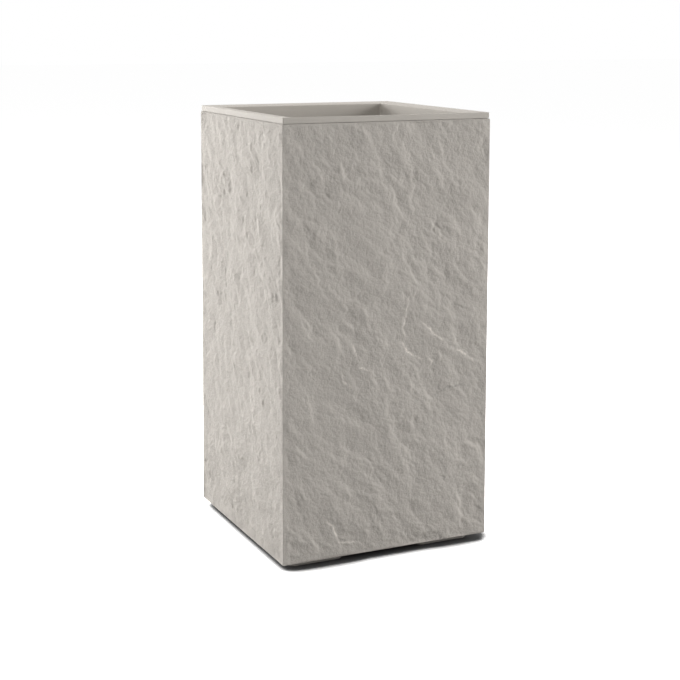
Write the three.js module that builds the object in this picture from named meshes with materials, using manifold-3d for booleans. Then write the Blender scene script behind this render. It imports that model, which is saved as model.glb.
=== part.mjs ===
// Tall square planter: a stone-textured fibreglass shell on four corner feet, with a lift-out liner
// whose smooth moulded rim hangs on the top of the shell.
// Millimetres, +Z up. The origin is on the floor, under the middle of the planter.
import * as THREE from 'three';
import { mergeVertices } from 'three/addons/utils/BufferGeometryUtils.js';
import Module from 'manifold-3d';

const wasm = await Module();
wasm.setup();

// ---- whole planter ----
const overallHeight = 800;
const topWidth = 400; // across the stone faces at their top edge
const draftAngle = 0.5; // degrees that each stone face leans out towards the base
const seatGap = 0.3; // between a piece and what it rests on or is bonded to

// ---- outer shell ----
const stoneCornerRadius = 3;
const stoneEdgeChamfer = 1.5; // round the bottom and top edges of the stone faces
const shellWall = 6;
const shellInnerRadius = 9;
const topReturnThickness = 5; // inward return that carries the liner
const bottomReturnWidth = 20; // inward return that carries the base panel
const bottomReturnThickness = 6;

// ---- rim of the liner ----
const rimWidth = 32; // from the stone face to the opening
const rimBandHeight = 11; // smooth band that shows above the stone
const rimInset = 1.2; // the band stands this far behind the stone face
const rimFall = 2.8; // the rim's top falls this far from the band to the opening
const rimPlateThickness = 4.5;
const rimEdgeRadius = 1.2;
const rimCornerRadius = 2;
const grooveHeight = 0.8; // shadow line between the band and the stone
const grooveDepth = 1.5;
const seatRibWidth = 7; // rib under the rim that stands on the shell's return

// ---- liner ----
const linerDepth = 380; // rim top to the edge of the liner's floor
const linerWall = 4;
const linerDraftAngle = 2;
const linerClearance = 1.5; // round the liner where it drops through the shell's return
const linerTopCornerRadius = 3;
const linerBottomCornerRadius = 26;
const linerFloorFillet = 16;
const linerFloorThickness = 5;
const linerFloorFall = 5; // floor's fall from its edge to the sump
const linerSumpRadius = 32;
const linerSumpDepth = 6;
const linerDrainRadius = 12.5;
const standRingInset = 26; // foot ring that the liner stands on when it is out of the shell
const standRingWidth = 5;
const standRingHeight = 9; // below the sump's underside
const linerRibLength = 72;
const linerRibWidth = 5;
const linerRibHeight = 2; // above the edge of the floor
const gripLength = 90; // hand grip through each side wall
const gripHeight = 24;
const gripDepth = 50; // rim top to the middle of a grip

// ---- base panel ----
const basePanelThickness = 5; // at the drain
const basePanelFall = 3;
const baseUpstandHeight = 26;
const baseUpstandThickness = 4;
const baseCornerRadius = 8;
const baseDrainRadius = 16;
const drainCollarWidth = 8;
const drainCollarHeight = 2;
const baseRibWidth = 6;
const baseRibHeight = 14;
const baseRibEndGap = 12; // from a rib's ends to the collar and to the upstand

// ---- feet ----
const standHeight = 14; // clear height under the stone faces
const footInset = 24; // from the stone faces at the base
const footSize = 106;
const footCornerRadius = 12;
const footChamfer = 2;

// ---- screws that hold the feet ----
const screwRadius = 3;
const screwHeadRadius = 5.6;
const screwHeadHeight = 3.8;
const screwGrip = 12; // thread length inside a foot
const screwHoleClearance = 0.4;
const screwTipChamfer = 1;
const screwTipGap = 2; // between a screw's tip and the end of its hole
const screwSpread = 48; // between the two screws of one foot, along each side
const screwSeatMargin = 2; // flat boss round a screw's head

// ---- drain plugs ----
const plugClearance = 0.3;
const plugTaper = 0.8; // the plug's tip is this much smaller in radius
const plugFlangeOverlap = 5;
const plugFlangeThickness = 3;
const plugFlangeChamfer = 1;
const plugProjection = 3; // below the hole
const plugKnobRadius = 6;
const plugKnobNeckRadius = 3.5;
const plugKnobHeight = 9;

// ---- roundness ----
const cornerSteps = 6;
const roundSteps = 4 * cornerSteps;
const edgeSteps = 3;
const filletSteps = 5;
const cutOvershoot = 1; // a cutter runs this far past the face that it opens

// ---- sizes worked out from the ones above ----
const lean = Math.tan(THREE.MathUtils.degToRad(draftAngle));
const linerLean = Math.tan(THREE.MathUtils.degToRad(linerDraftAngle));
const shellTop = overallHeight - rimBandHeight;
const shellBottom = standHeight;
const openingHalf = topWidth / 2 - rimWidth;
const bandHalf = topWidth / 2 - rimInset;
const returnHalf = openingHalf + linerWall + linerClearance; // edge of the shell's top return
const basePanelBottom = shellBottom + bottomReturnThickness + seatGap;
const basePanelEdgeTop = basePanelBottom + basePanelThickness + basePanelFall;
const footHeight = basePanelBottom - seatGap;
const linerFloorEdge = overallHeight - linerDepth;
const linerSumpFloor = linerFloorEdge - linerFloorFall - linerSumpDepth;
const linerUnderside = linerSumpFloor - linerFloorThickness;

// Half of the width across the stone faces at height z.
const faceHalf = (z) => topWidth / 2 + (shellTop - z) * lean;

// Height of the rim's top face at a half width.
const rimTop = (half) => overallHeight - rimFall * ((bandHalf - half) / (bandHalf - openingHalf));

// Half of the width across the liner's inner faces at height z.
const linerHalf = (z) => openingHalf - (overallHeight - z) * linerLean;

// Radius of the liner's inner corners, which open out towards its floor.
function linerCornerRadius(z) {
  const share = (overallHeight - z) / linerDepth;
  return THREE.MathUtils.lerp(linerTopCornerRadius, linerBottomCornerRadius, share);
}

const material = (color, roughness) => new THREE.MeshStandardMaterial({ color, roughness, metalness: 0 });
const stoneFinish = material('#b1aca5', 0.95);
const smoothFinish = material('#c6c2bb', 0.7);
const mouldedFinish = material('#a5a19a', 0.75);
const rubberFinish = material('#2b2b2b', 0.85);
const steelFinish = new THREE.MeshStandardMaterial({ color: '#b9bbbd', roughness: 0.35, metalness: 1 });

// ---- shape helpers ----

// One ring of a swept wall: a square of the given half width and corner radius at height z.
// A radius equal to the half width makes it a circle.
const ring = (half, z, radius) => ({ half, z, radius });
const circle = (radius, z) => ring(radius, z, radius);

// Rings on a quarter round from angle a to angle b (degrees), measured from the outward direction.
function arcRings(centreHalf, centreZ, arcRadius, a, b, steps, cornerRadiusAt) {
  return Array.from({ length: steps + 1 }, (_, i) => {
    const angle = THREE.MathUtils.degToRad(THREE.MathUtils.lerp(a, b, i / steps));
    const half = centreHalf + arcRadius * Math.cos(angle);
    return ring(half, centreZ + arcRadius * Math.sin(angle), cornerRadiusAt(half));
  });
}

// Points of a ring, anticlockwise seen from above.
function ringPoints({ half, z, radius }) {
  const points = [];
  for (let corner = 0; corner < 4; corner += 1) {
    const middle = (corner + 0.5) * (Math.PI / 2);
    const centreX = Math.sign(Math.cos(middle)) * (half - radius);
    const centreY = Math.sign(Math.sin(middle)) * (half - radius);
    for (let step = 0; step <= cornerSteps; step += 1) {
      const angle = (corner + step / cornerSteps) * (Math.PI / 2);
      points.push(centreX + radius * Math.cos(angle), centreY + radius * Math.sin(angle), z);
    }
  }
  return points;
}

// Joins points that coincide and drops the triangles that this closes up.
function weld(geometry) {
  geometry.deleteAttribute('normal');
  geometry.deleteAttribute('uv');
  const welded = mergeVertices(geometry, 1e-4);
  const index = welded.index.array;
  const kept = [];
  for (let i = 0; i < index.length; i += 3) {
    const [a, b, c] = index.subarray(i, i + 3);
    if (a !== b && b !== c && c !== a) kept.push(a, b, c);
  }
  welded.setIndex(kept);
  return welded;
}

// Closed body swept round the planter's axis. Its rings are the corners of the wall's section,
// anticlockwise with the outside of the planter to the right.
function sweptWall(rings) {
  const around = 4 * (cornerSteps + 1);
  const index = [];
  for (let s = 0; s < rings.length; s += 1) {
    const next = (s + 1) % rings.length;
    for (let i = 0; i < around; i += 1) {
      const j = (i + 1) % around;
      const [a, b, c, d] = [s * around + i, s * around + j, next * around + j, next * around + i];
      index.push(a, b, c, a, c, d);
    }
  }
  const geometry = new THREE.BufferGeometry();
  geometry.setAttribute('position', new THREE.Float32BufferAttribute(rings.flatMap(ringPoints), 3));
  geometry.setIndex(index);
  return weld(geometry);
}

function toSolid(geometry) {
  const welded = weld(geometry);
  return new wasm.Manifold(new wasm.Mesh({
    numProp: 3,
    vertProperties: new Float32Array(welded.attributes.position.array),
    triVerts: new Uint32Array(welded.index.array),
  }));
}

function toGeometry(solid) {
  const { vertProperties, triVerts } = solid.getMesh();
  const geometry = new THREE.BufferGeometry();
  geometry.setAttribute('position', new THREE.BufferAttribute(vertProperties, 3));
  geometry.setIndex(new THREE.BufferAttribute(triVerts, 1));
  geometry.computeVertexNormals();
  return geometry;
}

const without = (geometry, cutters) => toGeometry(cutters.reduce(
  (solid, cutter) => solid.subtract(toSolid(cutter)), toSolid(geometry)));

const joined = (geometry, additions) => toGeometry(additions.reduce(
  (solid, addition) => solid.add(toSolid(addition)), toSolid(geometry)));

// Round bar along Z from one height to another.
function bar(radius, low, high, x = 0, y = 0) {
  const geometry = new THREE.CylinderGeometry(radius, radius, high - low, roundSteps);
  return geometry.rotateX(Math.PI / 2).translate(x, y, (low + high) / 2);
}

// Bar along X with rounded ends, that cuts a slot through both side walls of the liner.
function slotCutter(length, height, z) {
  const radius = height / 2;
  const outline = new THREE.Shape();
  outline.absarc(length / 2 - radius, 0, radius, -Math.PI / 2, Math.PI / 2);
  outline.absarc(radius - length / 2, 0, radius, Math.PI / 2, Math.PI * 1.5);
  const reach = topWidth / 2;
  return new THREE.ExtrudeGeometry(outline, {
    depth: 2 * reach,
    curveSegments: cornerSteps,
    bevelEnabled: false,
  }).translate(0, 0, -reach).rotateX(Math.PI / 2).rotateZ(Math.PI / 2).translate(0, 0, z);
}

// Four straight ribs that run out from the axis like a cross.
function crossRibs(start, length, width, low, high) {
  return [0, 1, 2, 3].map((quarter) => new THREE.BoxGeometry(length, width, high - low)
    .translate(start + length / 2, 0, (low + high) / 2)
    .rotateZ(quarter * (Math.PI / 2)));
}

function mesh(name, geometry, finish) {
  const made = new THREE.Mesh(geometry, finish);
  made.name = name;
  return made;
}

// ---- feet and their screws ----

const footCentre = faceHalf(shellBottom) - footInset - footSize / 2;
const corners = [
  { name: 'front_left', x: -1, y: -1 },
  { name: 'front_right', x: 1, y: -1 },
  { name: 'back_left', x: -1, y: 1 },
  { name: 'back_right', x: 1, y: 1 },
];

// Screw places in a foot's own frame: on the diagonal from the planter's middle to its corner.
const footScrewPlaces = ({ x, y }) => [-1, 1].map((side) => (
  { x: (x * side * screwSpread) / 2, y: (y * side * screwSpread) / 2 }));

const screwPlaces = corners.flatMap((corner) => footScrewPlaces(corner).map((place, i) => ({
  name: `foot_screw_${corner.name}_${i === 0 ? 'inner' : 'outer'}`,
  x: corner.x * footCentre + place.x,
  y: corner.y * footCentre + place.y,
})));

function foot(corner) {
  const outline = new THREE.Shape();
  const half = footSize / 2 - footChamfer;
  const radius = footCornerRadius - footChamfer;
  outline.moveTo(-half + radius, -half);
  outline.lineTo(half - radius, -half);
  outline.absarc(half - radius, -half + radius, radius, -Math.PI / 2, 0);
  outline.lineTo(half, half - radius);
  outline.absarc(half - radius, half - radius, radius, 0, Math.PI / 2);
  outline.lineTo(-half + radius, half);
  outline.absarc(-half + radius, half - radius, radius, Math.PI / 2, Math.PI);
  outline.lineTo(-half, -half + radius);
  outline.absarc(-half + radius, -half + radius, radius, Math.PI, Math.PI * 1.5);
  const block = new THREE.ExtrudeGeometry(outline, {
    depth: footHeight - 2 * footChamfer,
    curveSegments: cornerSteps,
    bevelThickness: footChamfer,
    bevelSize: footChamfer,
    bevelSegments: 1,
  }).translate(0, 0, footChamfer);
  const holeRadius = screwRadius + screwHoleClearance;
  const holes = footScrewPlaces(corner).map(({ x, y }) => (
    bar(holeRadius, footHeight - screwGrip - screwTipGap, footHeight + cutOvershoot, x, y)));
  const made = mesh(`foot_${corner.name}`, without(block, holes), mouldedFinish);
  made.position.set(corner.x * footCentre, corner.y * footCentre, 0);
  return made;
}

function footScrew({ name, x, y }) {
  const seat = basePanelEdgeTop + seatGap;
  const tip = footHeight - screwGrip;
  const dome = screwHeadHeight / 2;
  const profile = [
    new THREE.Vector2(0, tip),
    new THREE.Vector2(screwRadius - screwTipChamfer, tip),
    new THREE.Vector2(screwRadius, tip + screwTipChamfer),
    new THREE.Vector2(screwRadius, seat),
    new THREE.Vector2(screwHeadRadius, seat),
    new THREE.Vector2(screwHeadRadius, seat + dome),
    new THREE.Vector2(screwHeadRadius - dome / 2, seat + screwHeadHeight - dome / 4),
    new THREE.Vector2(0, seat + screwHeadHeight),
  ];
  const made = mesh(name, new THREE.LatheGeometry(profile, roundSteps).rotateX(Math.PI / 2), steelFinish);
  made.position.set(x, y, 0);
  return made;
}

// ---- base panel ----

const baseOuterHalf = (z) => faceHalf(z) - shellWall - seatGap;
const baseInnerHalf = (z) => baseOuterHalf(z) - baseUpstandThickness;

// Moulded tray that is bonded into the foot of the shell: an upstand round the edge, a floor that
// falls to a raised drain collar, and four stiffening ribs.
function basePanel() {
  const upstandTop = basePanelEdgeTop + baseUpstandHeight;
  const collarTop = basePanelBottom + basePanelThickness + drainCollarHeight;
  const collarRadius = baseDrainRadius + drainCollarWidth;
  const tray = sweptWall([
    ring(baseOuterHalf(basePanelBottom), basePanelBottom, baseCornerRadius),
    ring(baseOuterHalf(upstandTop), upstandTop, baseCornerRadius),
    ring(baseInnerHalf(upstandTop), upstandTop, baseCornerRadius - baseUpstandThickness),
    ring(baseInnerHalf(basePanelEdgeTop), basePanelEdgeTop, baseCornerRadius - baseUpstandThickness),
    circle(collarRadius, basePanelBottom + basePanelThickness),
    circle(collarRadius, collarTop),
    circle(baseDrainRadius, collarTop),
    circle(baseDrainRadius, basePanelBottom),
  ]);
  const ribStart = collarRadius + baseRibEndGap;
  const ribLength = baseInnerHalf(basePanelEdgeTop + baseRibHeight) - baseRibEndGap - ribStart;
  const core = basePanelBottom + basePanelThickness / 2; // what is joined on starts inside the floor
  const ribs = crossRibs(ribStart, ribLength, baseRibWidth, core, basePanelEdgeTop + baseRibHeight);
  const seats = screwPlaces.map(({ x, y }) => (
    bar(screwHeadRadius + screwSeatMargin, core, basePanelEdgeTop, x, y)));
  const holes = screwPlaces.map(({ x, y }) => (
    bar(screwRadius + screwHoleClearance, basePanelBottom - cutOvershoot,
      basePanelEdgeTop + cutOvershoot, x, y)));
  return mesh('base_panel', without(joined(tray, [...ribs, ...seats]), holes), mouldedFinish);
}

// ---- outer shell ----

// Stone-faced walls with a return at the top and one at the bottom, moulded in one piece.
function outerShell() {
  const innerHalf = (z) => faceHalf(z) - shellWall;
  const topReturnUnder = shellTop - topReturnThickness;
  const bottomReturnTop = shellBottom + bottomReturnThickness;
  const bottomOpening = faceHalf(shellBottom) - bottomReturnWidth;
  const cut = stoneEdgeChamfer;
  return mesh('outer_shell', sweptWall([
    ring(faceHalf(shellBottom) - cut, shellBottom, stoneCornerRadius),
    ring(faceHalf(shellBottom + cut), shellBottom + cut, stoneCornerRadius),
    ring(faceHalf(shellTop - cut), shellTop - cut, stoneCornerRadius),
    ring(faceHalf(shellTop) - cut, shellTop, stoneCornerRadius),
    ring(returnHalf, shellTop, shellInnerRadius),
    ring(returnHalf, topReturnUnder, shellInnerRadius),
    ring(innerHalf(topReturnUnder), topReturnUnder, shellInnerRadius),
    ring(innerHalf(bottomReturnTop), bottomReturnTop, shellInnerRadius),
    ring(bottomOpening, bottomReturnTop, shellInnerRadius),
    ring(bottomOpening, shellBottom, shellInnerRadius),
  ]), stoneFinish);
}

// ---- liner ----

// Section of the moulded rim, from the outside of the band over the top to the opening's edge.
function rimRings() {
  const r = rimEdgeRadius;
  return [
    ring(bandHalf, shellTop + grooveHeight, rimCornerRadius),
    ...arcRings(bandHalf - r, overallHeight - r, r, 0, 90, edgeSteps, () => rimCornerRadius),
    ...arcRings(openingHalf + r, rimTop(openingHalf) - r, r, 90, 180, edgeSteps,
      () => linerTopCornerRadius),
  ];
}

// Section of the rim's underside, from the liner's wall to the groove above the stone.
function rimUndersideRings() {
  const innerUnder = rimTop(openingHalf) - rimPlateThickness;
  const seatOuter = bandHalf - grooveDepth;
  const seatInner = seatOuter - seatRibWidth;
  return [
    ring(linerHalf(innerUnder) + linerWall, innerUnder, linerTopCornerRadius + linerWall),
    ring(seatInner, rimTop(seatInner) - rimPlateThickness, rimCornerRadius),
    ring(seatInner, shellTop + seatGap, rimCornerRadius),
    ring(seatOuter, shellTop + seatGap, rimCornerRadius),
    ring(seatOuter, shellTop + grooveHeight, rimCornerRadius),
  ];
}

// Lift-out pot with drafted walls, whose corners open out towards a floor that falls to a sump.
// A slot through each side wall, just under the rim, is the grip to lift it by.
function liner() {
  const filletZ = linerFloorEdge + linerFloorFillet;
  const wallHalf = linerHalf(filletZ);
  const cornerRadius = linerCornerRadius(filletZ);
  const outerFillet = linerFloorFillet + linerFloorThickness;
  const outerFilletZ = linerFloorEdge - linerFloorThickness + outerFillet;
  const sumpTop = linerFloorEdge - linerFloorFall;
  const standOuter = wallHalf - standRingInset;
  const standInner = standOuter - standRingWidth;
  const standBottom = linerUnderside - standRingHeight;
  const plateBottom = linerFloorEdge - linerFloorThickness;
  const pot = sweptWall([
    ...rimRings(),
    ...arcRings(wallHalf - linerFloorFillet, filletZ, linerFloorFillet, 0, -90, filletSteps,
      (half) => cornerRadius - (wallHalf - half)),
    circle(linerSumpRadius, sumpTop),
    circle(linerSumpRadius, linerSumpFloor),
    circle(linerDrainRadius, linerSumpFloor),
    circle(linerDrainRadius, linerUnderside),
    circle(linerSumpRadius + linerFloorThickness, linerUnderside),
    circle(linerSumpRadius + linerFloorThickness, sumpTop - linerFloorThickness),
    ring(standInner, plateBottom, cornerRadius),
    ring(standInner, standBottom, cornerRadius),
    ring(standOuter, standBottom, cornerRadius),
    ring(standOuter, plateBottom, cornerRadius),
    ...arcRings(wallHalf + linerWall - outerFillet, outerFilletZ, outerFillet, -90, 0, filletSteps,
      (half) => cornerRadius + linerWall - (wallHalf + linerWall - half)),
    ...rimUndersideRings(),
  ]);
  const ribLow = linerFloorEdge - linerFloorFall - linerFloorThickness / 2;
  const ribs = crossRibs(linerSumpRadius + linerRibWidth, linerRibLength, linerRibWidth, ribLow,
    linerFloorEdge + linerRibHeight);
  const grips = slotCutter(gripLength, gripHeight, overallHeight - gripDepth);
  return mesh('liner', without(joined(pot, ribs), [grips]), smoothFinish);
}

// ---- drain plugs ----

// Rubber bung for a round hole, made with the hole's top edge at z = 0: a tapered body under a
// flange, and a knob to pull it by.
function plug(name, holeRadius, holeLength) {
  const fit = holeRadius - plugClearance;
  const flange = holeRadius + plugFlangeOverlap;
  const flangeTop = seatGap + plugFlangeThickness;
  const knobTop = flangeTop + plugKnobHeight;
  const knobRound = plugKnobRadius / 2;
  const profile = [
    new THREE.Vector2(0, -holeLength - plugProjection),
    new THREE.Vector2(fit - plugTaper, -holeLength - plugProjection),
    new THREE.Vector2(fit, -plugProjection),
    new THREE.Vector2(fit, seatGap),
    new THREE.Vector2(flange, seatGap),
    new THREE.Vector2(flange, flangeTop - plugFlangeChamfer),
    new THREE.Vector2(flange - plugFlangeChamfer, flangeTop),
    new THREE.Vector2(plugKnobNeckRadius, flangeTop),
    new THREE.Vector2(plugKnobNeckRadius, knobTop - 2 * knobRound),
    new THREE.Vector2(plugKnobRadius, knobTop - knobRound),
    new THREE.Vector2(plugKnobRadius, knobTop - knobRound / 2),
    new THREE.Vector2(plugKnobRadius - knobRound / 2, knobTop),
    new THREE.Vector2(0, knobTop),
  ];
  return mesh(name, new THREE.LatheGeometry(profile, roundSteps).rotateX(Math.PI / 2), rubberFinish);
}

function basePlug() {
  const made = plug('base_drain_plug', baseDrainRadius, basePanelThickness + drainCollarHeight);
  made.position.z = basePanelBottom + basePanelThickness + drainCollarHeight;
  return made;
}

function linerPlug() {
  const made = plug('liner_drain_plug', linerDrainRadius, linerFloorThickness);
  made.position.z = linerSumpFloor;
  return made;
}

// ---- assembly ----

const carcass = new THREE.Group();
carcass.add(outerShell(), basePanel(), basePlug(), ...corners.map(foot), ...screwPlaces.map(footScrew));

const insert = new THREE.Group();
insert.add(liner(), linerPlug());

const planter = new THREE.Group();
planter.add(carcass, insert);

export default planter;
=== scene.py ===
"""Looks of a tall square planter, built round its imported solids.

A stone-textured shell on four corner feet holds a lift-out liner, whose smooth moulded rim hangs on
the top of the shell. Metres, +Z up, with the origin on the floor under the planter's middle. -Y is
the face that the camera sees nearly square on, and -X is the face at its left.
"""

import logging
import math
from collections.abc import Iterable
from dataclasses import dataclass
from enum import Enum

import bmesh
import bpy
import numpy as np
from mathutils import Matrix


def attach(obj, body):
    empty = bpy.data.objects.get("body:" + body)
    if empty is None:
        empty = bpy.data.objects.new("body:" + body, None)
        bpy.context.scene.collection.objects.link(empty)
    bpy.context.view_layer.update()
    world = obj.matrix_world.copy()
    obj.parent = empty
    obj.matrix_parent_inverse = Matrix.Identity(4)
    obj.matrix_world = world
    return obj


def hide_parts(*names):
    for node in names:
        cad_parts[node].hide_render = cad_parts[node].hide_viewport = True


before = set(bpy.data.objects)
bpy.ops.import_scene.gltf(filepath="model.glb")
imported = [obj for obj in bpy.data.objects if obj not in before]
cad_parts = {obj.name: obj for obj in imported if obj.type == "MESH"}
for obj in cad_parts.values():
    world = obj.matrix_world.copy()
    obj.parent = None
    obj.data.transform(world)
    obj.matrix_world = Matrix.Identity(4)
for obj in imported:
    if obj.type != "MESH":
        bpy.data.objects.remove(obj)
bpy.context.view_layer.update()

log = logging.getLogger("planter")

SAME_POINT = 1e-6
CREASE = 30.0
ROUNDED_SHARE = 0.45
CORNERS = {"front_left": (-1, -1), "front_right": (1, -1), "back_left": (-1, 1), "back_right": (1, 1)}

Triple = tuple[float, float, float]
Socket = bpy.types.NodeSocket


class Slot(Enum):
    """The record's material slots."""

    STONE = "stone_fibreglass"
    SMOOTH = "smooth_fibreglass"
    MOULDED = "moulded_fibreglass"
    RUBBER = "plug_rubber"
    STEEL = "screw_steel"


class Body(Enum):
    """The moving bodies of the part."""

    CARCASS = "carcass"
    LINER = "liner_pot"
    BASE_PLUG = "base_plug"
    LINER_PLUG = "liner_plug"


class Side(Enum):
    """Sides of the planter, as quarter turns from +Y, anticlockwise seen from above."""

    BACK = 0
    LEFT = 1
    FRONT = 2
    RIGHT = 3


@dataclass(frozen=True)
class PlanterSizes:
    """Sizes that several pieces share, as the solids have them."""

    height: float = 0.800
    top_width: float = 0.400
    draft: float = math.radians(0.5)
    shell_top: float = 0.789
    shell_bottom: float = 0.014
    seat_gap: float = 0.0003
    shell_wall: float = 0.006

    def face_half(self, z: float | np.ndarray) -> float | np.ndarray:
        """Half of the width across the stone faces at height z."""
        return self.top_width / 2 + (self.shell_top - z) * math.tan(self.draft)


# ---- sections and sweeps ----


@dataclass(frozen=True)
class Section:
    """The half width, height and corner radius of each ring of a swept wall, one ring in each row.

    The last ring of a closed section joins the first, which makes a wall round a hole. An open one
    starts and ends at half width 0, and makes a solid block.
    """

    table: np.ndarray
    closed: bool = True

    @staticmethod
    def of(*rings: tuple[float, ...], closed: bool = True) -> "Section":
        """Section with the given rings. One without a corner radius is round."""
        return Section(np.array([(*ring, ring[0])[:3] for ring in rings], float), closed)

    @staticmethod
    def block(half: float, low: float, high: float, corner: float) -> "Section":
        """Section of a solid block between two heights."""
        rings = (0, low), (half, low, corner), (half, high, corner), (0, high)
        return Section.of(*rings, closed=False)

    def then(self, other: "Section") -> "Section":
        """Closed section of this one's rings and the other's."""
        return Section(np.concatenate([self.table, other.table]))

    def rounded(self, radius: float, steps: int) -> "Section":
        """Rounds the section's corners.

        Each corner P between neighbours A and B becomes the quadratic curve from P + (A - P) t to
        P + (B - P) t, with t such that it starts one radius from P, or at ROUNDED_SHARE of a
        shorter side.

        Args:
            radius: distance from a corner at which its rounding starts.
            steps: number of straight pieces in each rounding.

        Returns:
            The rounded section. An open one keeps its first and last ring as they are.
        """
        table = self.table
        ends = []
        for shift in (1, -1):
            way = np.roll(table, shift, axis=0) - table
            length = np.maximum(np.hypot(way[:, 0], way[:, 1]), 1e-9)
            ends.append(table + way * np.minimum(radius / length, ROUNDED_SHARE)[:, None])
        t = np.linspace(0, 1, steps + 1)[None, :, None]
        first, last = ends[0][:, None, :], ends[1][:, None, :]
        curve = first * (1 - t) ** 2 + 2 * table[:, None, :] * t * (1 - t) + last * t**2
        if not self.closed:
            inner = curve[1:-1].reshape(-1, 3)
            curve = np.concatenate([table[:1], inner, table[-1:]])
        return Section(curve.reshape(-1, 3), self.closed)


def quarter_outline(corner_steps: int, side_steps: int) -> tuple[np.ndarray, np.ndarray]:
    """Outline of the +Y side of a rounded square, from the middle of one corner to that of the next.

    A point of the outline is (half - radius) * corner + radius * arc. Round a corner, corner stays at
    (+-1, 1) while arc turns, and along the side arc stays at (0, 1) while corner moves across.

    Args:
        corner_steps: number of pieces in each half corner.
        side_steps: number of pieces along the side.

    Returns:
        The corner and arc multipliers, one row for each point.
    """
    angles = np.radians(np.concatenate([
        np.linspace(45, 90, corner_steps + 1),
        np.full(side_steps - 1, 90.0),
        np.linspace(90, 135, corner_steps + 1),
    ]))
    across = np.concatenate([
        np.ones(corner_steps),
        np.linspace(1, -1, side_steps + 1),
        -np.ones(corner_steps),
    ])
    arc = np.stack([np.cos(angles), np.sin(angles)], axis=1)
    arc[corner_steps : corner_steps + side_steps + 1] = (0.0, 1.0)
    return np.stack([across, np.ones_like(across)], axis=1), arc


def turned(points: np.ndarray, quarters: int) -> np.ndarray:
    """Points turned anticlockwise about the Z axis by whole quarter turns, which is exact."""
    made = points.copy()
    for _ in range(quarters % 4):
        made[..., 0], made[..., 1] = -made[..., 1].copy(), made[..., 0].copy()
    return made


def square_outline(corner_steps: int) -> tuple[np.ndarray, np.ndarray]:
    """Outline of a whole rounded square: four quarter outlines, each without its last point."""
    parts = quarter_outline(corner_steps, 1)
    return tuple(np.concatenate([turned(part[:-1], k) for k in range(4)]) for part in parts)


def grid_quads(rows: int, columns: int, wrap_rows: bool, wrap_columns: bool) -> np.ndarray:
    """Four point numbers for each cell of a grid whose points are numbered row by row.

    Args:
        rows: number of rows of points.
        columns: number of points in a row.
        wrap_rows: whether the last row joins the first.
        wrap_columns: whether a row's last point joins its first.

    Returns:
        An array with one cell in each row, that faces outwards on an outline that runs anticlockwise
        and a section that runs upwards at its outside.
    """
    row = np.arange(rows if wrap_rows else rows - 1)[:, None]
    column = np.arange(columns if wrap_columns else columns - 1)[None, :]
    next_row, next_column = (row + 1) % rows, (column + 1) % columns
    corners = (row, column), (row, next_column), (next_row, next_column), (next_row, column)
    return np.stack([(r * columns + c).ravel() for r, c in corners], axis=1)


def swept_points(section: Section, outline: tuple[np.ndarray, np.ndarray],
                 length: float = 0.0) -> np.ndarray:
    """Points of a section swept round an outline.

    Point = (half - radius) * corner + radius * arc, at the ring's height.

    Args:
        section: the rings.
        outline: corner and arc multipliers of the outline.
        length: what is added to the half width along X.

    Returns:
        An array of rings by outline points by three.
    """
    corner, arc = outline
    half, height, radius = section.table.T[:, :, None, None]
    flat = (half + np.array((length, 0.0)) - radius) * corner[None] + radius * arc[None]
    return np.concatenate([flat, np.broadcast_to(height, flat.shape[:2] + (1,))], axis=2)


@dataclass(frozen=True)
class Surface:
    """Points of a surface, and four point numbers for each of its faces."""

    points: np.ndarray
    quads: np.ndarray

    def moved(self, x: float = 0.0, y: float = 0.0, z: float = 0.0) -> "Surface":
        """The surface in another place."""
        return Surface(self.points + np.array([x, y, z]), self.quads)


def swept(section: Section, corner_steps: int, length: float = 0.0) -> Surface:
    """Section swept round a whole rounded square.

    Args:
        section: the rings.
        corner_steps: number of pieces in each half corner.
        length: what is added to the half width along X.

    Returns:
        The surface.
    """
    points = swept_points(section, square_outline(corner_steps), length)
    quads = grid_quads(points.shape[0], points.shape[1], section.closed, True)
    return Surface(points.reshape(-1, 3), quads)


def joined(surfaces: Iterable[Surface]) -> Surface:
    """Several surfaces as one."""
    surfaces = list(surfaces)
    starts = np.cumsum([0] + [len(s.points) for s in surfaces[:-1]])
    return Surface(
        np.concatenate([s.points for s in surfaces]),
        np.concatenate([s.quads + start for s, start in zip(surfaces, starts)]),
    )


def ribs(section: Section, start: float, end: float) -> Surface:
    """Four ribs of one section that run outwards along X and Y, from start to end."""
    length = (end - start) / 2 - section.table[:, 0].max()
    rib = swept(section, 3, length).moved(x=(start + end) / 2)
    return joined(Surface(turned(rib.points, k), rib.quads) for k in range(4))


# ---- meshes and objects ----


def mesh_of(name: str, surface: Surface, caps: Iterable[np.ndarray] = ()) -> bpy.types.Mesh:
    """Mesh of a surface, with its points as they are.

    Args:
        name: the mesh's name.
        surface: its points and four-sided faces.
        caps: point numbers of faces with more sides, which close the ends of an open surface.

    Returns:
        The mesh.
    """
    caps = list(caps)
    loops = np.concatenate([surface.quads.ravel(), *caps]).astype(np.int32)
    sizes = np.array([4] * len(surface.quads) + [len(cap) for cap in caps])
    mesh = bpy.data.meshes.new(name)
    mesh.vertices.add(len(surface.points))
    mesh.vertices.foreach_set("co", surface.points.astype(np.float32).ravel())
    mesh.loops.add(len(loops))
    mesh.loops.foreach_set("vertex_index", loops)
    mesh.polygons.add(len(sizes))
    starts = np.concatenate([[0], np.cumsum(sizes)[:-1]])
    mesh.polygons.foreach_set("loop_start", starts.astype(np.int32))
    mesh.update(calc_edges=True)
    return mesh


def welded(name: str, surface: Surface) -> bpy.types.Mesh:
    """Mesh of a surface whose points are merged where they coincide, as they do at poles."""
    mesh = mesh_of(name, surface)
    work = bmesh.new()
    work.from_mesh(mesh)
    bmesh.ops.remove_doubles(work, verts=work.verts, dist=SAME_POINT)
    work.to_mesh(mesh)
    work.free()
    return mesh


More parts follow.
